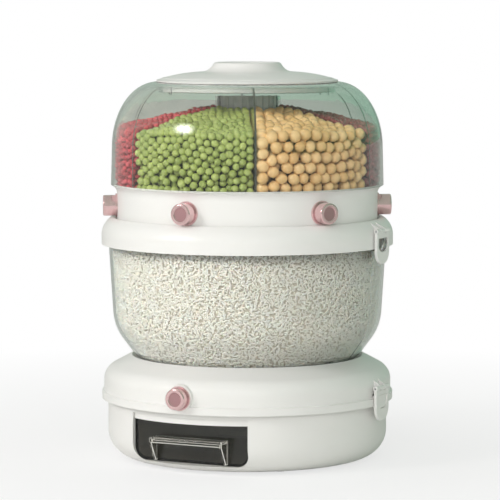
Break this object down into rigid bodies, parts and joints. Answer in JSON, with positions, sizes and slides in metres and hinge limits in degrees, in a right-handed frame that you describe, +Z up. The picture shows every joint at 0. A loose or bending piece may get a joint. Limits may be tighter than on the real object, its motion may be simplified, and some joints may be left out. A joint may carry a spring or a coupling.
{
  "type": "rice storage container",
  "caption": "Round tiered grain and rice dispenser with a turning divided clear dome, push buttons, a clear rice bowl, swing latches and a pull-out drawer.",
  "frame": {"origin": "middle of the plane that the feet stand on, on the axis of the round body", "axes": "-Y is the front with the drawer and the rice button, +Z is up, and the latches are at -X and +X"},
  "size_m": [0.3, 0.3016, 0.3951],
  "materials": {
    "white_plastic": "satin warm white",
    "inner_plastic": "matte off-white",
    "clear_plastic": "clear, polished",
    "smoke_plastic": "smoked, polished",
    "rose_plastic": "rose metallic plating",
    "bezel_plastic": "rose metallic plating",
    "silicone": "translucent matte",
    "rubber": "matte",
    "steel": "bright"
  },
  "bodies": {
    "base": {"base_shell": "white_plastic", "rubber_feet": "rubber", "drawer_bay": "inner_plastic", "base_cover": "white_plastic", "rice_bezel": "bezel_plastic", "outlet_funnel": "inner_plastic", "outlet_seal": "silicone", "rice_bowl": "clear_plastic", "bowl_collar": "white_plastic", "collar_seal": "silicone", "base_latch_pins": "steel", "collar_latch_pins": "steel"},
    "drawer": {"drawer_bin": "smoke_plastic", "drawer_handle": "smoke_plastic"},
    "rice_button": {"rice_button": "rose_plastic", "rice_gate": "inner_plastic", "rice_spring": "steel"},
    "base_latch_left": {"base_latch_left": "white_plastic"},
    "base_latch_right": {"base_latch_right": "white_plastic"},
    "collar_latch_left": {"collar_latch_left": "white_plastic"},
    "collar_latch_right": {"collar_latch_right": "white_plastic"},
    "turntable_cage": {"turntable_cage": "inner_plastic", "turntable_balls": "steel"},
    "dispenser": {"dispenser_ring": "white_plastic", "grain_tray": "white_plastic", "turntable_plate": "inner_plastic", "divider": "clear_plastic", "hub_core": "clear_plastic", "dome": "clear_plastic", "grain_bezels": "bezel_plastic"},
    "lid": {"lid": "white_plastic", "lid_seal": "silicone"},
    "grain_button_front": {"grain_button_front": "rose_plastic", "grain_gate_front": "inner_plastic", "grain_spring_front": "steel"},
    "grain_button_front_right": {"grain_button_front_right": "rose_plastic", "grain_gate_front_right": "inner_plastic", "grain_spring_front_right": "steel"},
    "grain_button_back_right": {"grain_button_back_right": "rose_plastic", "grain_gate_back_right": "inner_plastic", "grain_spring_back_right": "steel"},
    "grain_button_back": {"grain_button_back": "rose_plastic", "grain_gate_back": "inner_plastic", "grain_spring_back": "steel"},
    "grain_button_back_left": {"grain_button_back_left": "rose_plastic", "grain_gate_back_left": "inner_plastic", "grain_spring_back_left": "steel"},
    "grain_button_front_left": {"grain_button_front_left": "rose_plastic", "grain_gate_front_left": "inner_plastic", "grain_spring_front_left": "steel"}
  },
  "joints": [
    {"name": "drawer_slide", "type": "slide", "parent": "base", "child": "drawer", "axis": [0, -1, 0], "range_m": [0, 0.1]},
    {"name": "rice_press", "type": "slide", "parent": "base", "child": "rice_button", "axis": [0, 1, 0], "range_m": [0, 0.008], "stiffness_N_per_m": 220, "springref_m": -0.004, "deforming": ["rice_spring"]},
    {"name": "base_latch_left_swing", "type": "hinge", "parent": "base", "child": "base_latch_left", "pos_m": [-0.1474, 0, 0.078], "axis": [0, 1, 0], "range_deg": [0, 105]},
    {"name": "base_latch_right_swing", "type": "hinge", "parent": "base", "child": "base_latch_right", "pos_m": [0.1474, 0, 0.078], "axis": [0, -1, 0], "range_deg": [0, 105]},
    {"name": "collar_latch_left_swing", "type": "hinge", "parent": "base", "child": "collar_latch_left", "pos_m": [-0.1474, 0, 0.23225], "axis": [0, 1, 0], "range_deg": [0, 105]},
    {"name": "collar_latch_right_swing", "type": "hinge", "parent": "base", "child": "collar_latch_right", "pos_m": [0.1474, 0, 0.23225], "axis": [0, -1, 0], "range_deg": [0, 105]},
    {"name": "dispenser_spin", "type": "hinge", "parent": "base", "child": "dispenser", "pos_m": [0, 0, 0.233], "axis": [0, 0, 1], "continuous": true},
    {"name": "cage_spin", "type": "hinge", "parent": "base", "child": "turntable_cage", "pos_m": [0, 0, 0.233], "axis": [0, 0, 1], "continuous": true},
    {"name": "grain_press_front", "type": "slide", "parent": "dispenser", "child": "grain_button_front", "axis": [0, 1, 0], "range_m": [0, 0.01], "stiffness_N_per_m": 220, "springref_m": -0.004, "deforming": ["grain_spring_front"]},
    {"name": "grain_press_front_right", "type": "slide", "parent": "dispenser", "child": "grain_button_front_right", "axis": [-0.866, 0.5, 0], "range_m": [0, 0.01], "stiffness_N_per_m": 220, "springref_m": -0.004, "deforming": ["grain_spring_front_right"]},
    {"name": "grain_press_back_right", "type": "slide", "parent": "dispenser", "child": "grain_button_back_right", "axis": [-0.866, -0.5, 0], "range_m": [0, 0.01], "stiffness_N_per_m": 220, "springref_m": -0.004, "deforming": ["grain_spring_back_right"]},
    {"name": "grain_press_back", "type": "slide", "parent": "dispenser", "child": "grain_button_back", "axis": [0, -1, 0], "range_m": [0, 0.01], "stiffness_N_per_m": 220, "springref_m": -0.004, "deforming": ["grain_spring_back"]},
    {"name": "grain_press_back_left", "type": "slide", "parent": "dispenser", "child": "grain_button_back_left", "axis": [0.866, -0.5, 0], "range_m": [0, 0.01], "stiffness_N_per_m": 220, "springref_m": -0.004, "deforming": ["grain_spring_back_left"]},
    {"name": "grain_press_front_left", "type": "slide", "parent": "dispenser", "child": "grain_button_front_left", "axis": [0.866, 0.5, 0], "range_m": [0, 0.01], "stiffness_N_per_m": 220, "springref_m": -0.004, "deforming": ["grain_spring_front_left"]},
    {"name": "lid_lift", "type": "slide", "parent": "dispenser", "child": "lid", "axis": [0, 0, 1], "range_m": [0, 0.08]}
  ],
  "couplings": [
    {"joint": "cage_spin", "follows": "dispenser_spin", "ratio": 0.5}
  ]
}
